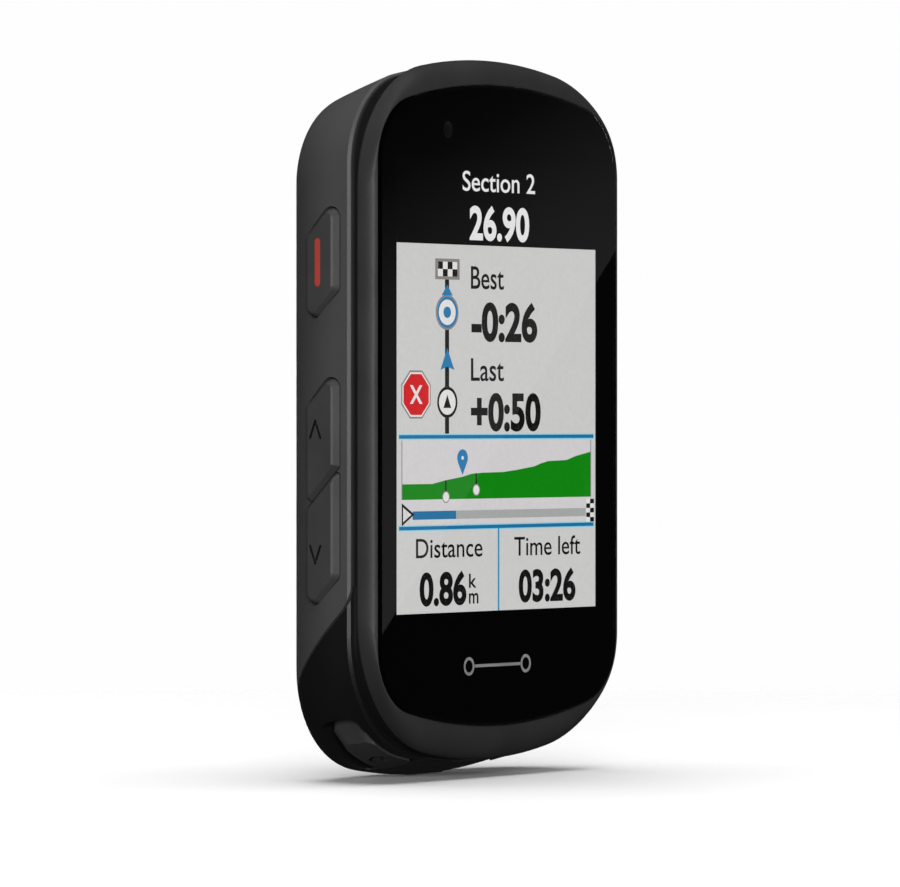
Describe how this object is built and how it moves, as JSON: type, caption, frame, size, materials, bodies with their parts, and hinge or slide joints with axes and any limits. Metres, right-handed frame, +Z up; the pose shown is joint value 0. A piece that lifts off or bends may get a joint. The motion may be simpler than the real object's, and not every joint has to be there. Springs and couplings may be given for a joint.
{
  "type": "cycling computer",
  "caption": "Handlebar cycling computer: rounded slab case with a tall display, slanted side buttons, corner buttons, a USB cover and a quarter-turn mount on its back.",
  "frame": {"origin": "centre of the quarter-turn mount's outer face, at the back of the case", "axes": "+Z up along the case, the display faces -Y, +Y is the mount's axis pointing out of the back, +X is to the viewer's right"},
  "size_m": [0.0502, 0.02, 0.0818],
  "materials": {
    "bezel_black": "satin black moulded plastic",
    "clear_glass": "clear polished glass",
    "mask_black": "black ink printed on the back of the glass",
    "foam_tape": "black foam tape",
    "display": "display panel",
    "light_guide": "white light guide",
    "shell_grey": "fine matt dark grey moulded plastic",
    "button_grey": "matt dark grey moulded plastic",
    "case_black": "matt black moulded plastic",
    "mount_black": "matt black glass-filled plastic",
    "seal_rubber": "black silicone rubber",
    "mark_red": "red inlay",
    "chassis_black": "black moulded plastic",
    "board_green": "green solder mask",
    "can_steel": "tinned sheet steel",
    "screw_steel": "blackened steel",
    "ceramic": "ceramic antenna",
    "battery_foil": "aluminium laminate pouch",
    "contact_gold": "gold plated",
    "flex_amber": "amber polyimide film",
    "vent_white": "white breathable membrane",
    "chip_black": "moulded black package"
  },
  "bodies": {
    "case": {"front_bezel": "bezel_black", "cover_glass": "clear_glass", "border_mask": "mask_black", "glass_adhesive": "foam_tape", "display_panel": "display", "backlight": "light_guide", "light_sensor": "chip_black", "rear_shell": "shell_grey", "lower_case": "case_black", "housing_seal": "seal_rubber", "inner_chassis": "chassis_black", "main_board": "board_green", "processor_shield": "can_steel", "radio_shield": "can_steel", "gps_antenna": "ceramic", "barometer": "chip_black", "vent_membrane": "vent_white", "buzzer": "chip_black", "battery": "battery_foil", "battery_pad": "foam_tape", "usb_socket": "can_steel", "usb_tongue": "chip_black", "display_flex": "flex_amber", "charge_contacts": "contact_gold", "tact_switches": "can_steel", "switch_flexes": "flex_amber", "button_membranes": "seal_rubber", "quarter_turn_mount": "mount_black", "case_screws": "screw_steel", "mount_screws": "screw_steel"},
    "power_key": {"power_button": "button_grey", "power_mark": "mark_red"},
    "up_key": {"up_button": "button_grey"},
    "down_key": {"down_button": "button_grey"},
    "enter_key": {"enter_button": "button_grey"},
    "back_key": {"back_button": "button_grey"},
    "lap_key": {"lap_button": "case_black"},
    "start_key": {"start_button": "case_black"},
    "cover": {"usb_cover": "seal_rubber"}
  },
  "joints": [
    {"name": "power_press", "type": "slide", "parent": "case", "child": "power_key", "axis": [0.989, -0.1478, 0], "range_m": [0, 0.0004], "stiffness_N_per_m": 1000, "springref_m": -0.0005},
    {"name": "up_press", "type": "slide", "parent": "case", "child": "up_key", "axis": [0.989, -0.1478, 0], "range_m": [0, 0.0004], "stiffness_N_per_m": 1000, "springref_m": -0.0005},
    {"name": "down_press", "type": "slide", "parent": "case", "child": "down_key", "axis": [0.989, -0.1478, 0], "range_m": [0, 0.0004], "stiffness_N_per_m": 1000, "springref_m": -0.0005},
    {"name": "enter_press", "type": "slide", "parent": "case", "child": "enter_key", "axis": [-0.989, -0.1478, 0], "range_m": [0, 0.0004], "stiffness_N_per_m": 1000, "springref_m": -0.0005},
    {"name": "back_press", "type": "slide", "parent": "case", "child": "back_key", "axis": [-0.989, -0.1478, 0], "range_m": [0, 0.0004], "stiffness_N_per_m": 1000, "springref_m": -0.0005},
    {"name": "lap_press", "type": "slide", "parent": "case", "child": "lap_key", "axis": [0.3941, 0.2478, 0.8851], "range_m": [0, 0.0004], "stiffness_N_per_m": 1000, "springref_m": -0.0005},
    {"name": "start_press", "type": "slide", "parent": "case", "child": "start_key", "axis": [-0.3941, 0.2478, 0.8851], "range_m": [0, 0.0004], "stiffness_N_per_m": 1000, "springref_m": -0.0005},
    {"name": "usb_cover_hinge", "type": "hinge", "parent": "case", "child": "cover", "pos_m": [0, -0.0089, -0.04036], "axis": [1, 0, 0], "range_deg": [0, 110], "stiffness_Nm_per_rad": 0.0005, "springref_deg": -5.73}
  ]
}
